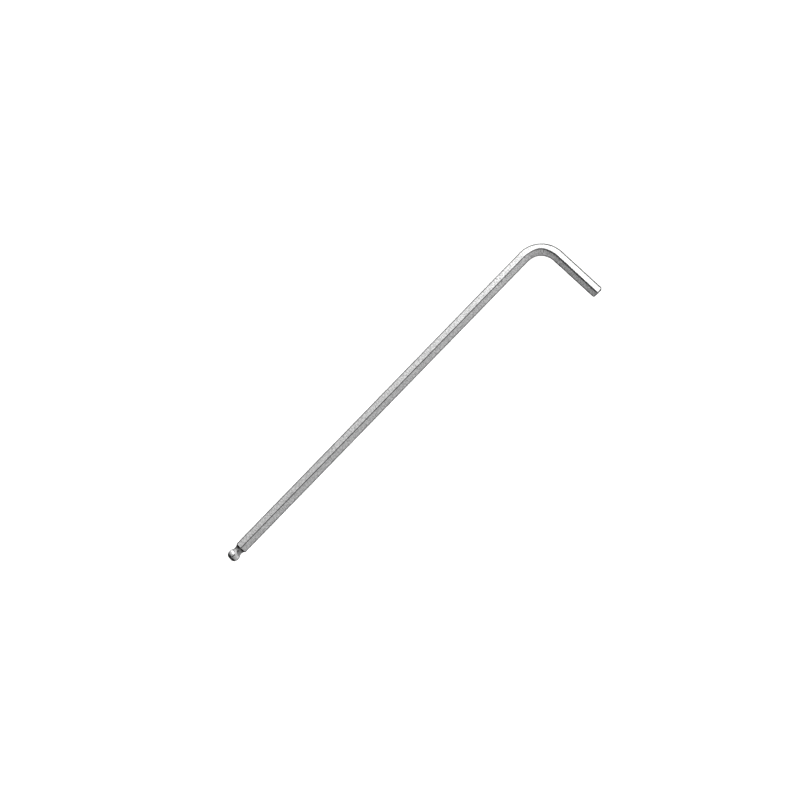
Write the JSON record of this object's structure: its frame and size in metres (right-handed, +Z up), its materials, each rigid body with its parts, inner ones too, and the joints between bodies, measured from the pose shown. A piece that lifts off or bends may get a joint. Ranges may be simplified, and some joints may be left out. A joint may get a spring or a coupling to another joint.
{
  "type": "hex key",
  "caption": "L-shaped hexagonal steel key: long arm with a ball end, short arm with a plain chamfered end, one rounded bend.",
  "frame": {"origin": "middle of the key's box in X and Y, on the surface that the key lies on", "axes": "+X along the long arm from the bend to the ball, +Y on the side that the short arm points to, +Z up, square to the plane of the bend"},
  "size_m": [0.1468, 0.0275, 0.0045],
  "materials": {
    "plated_steel": "bright plated steel, satin, with a fine grain across the arms"
  },
  "bodies": {
    "root": {"hex_key": "plated_steel"}
  },
  "joints": []
}
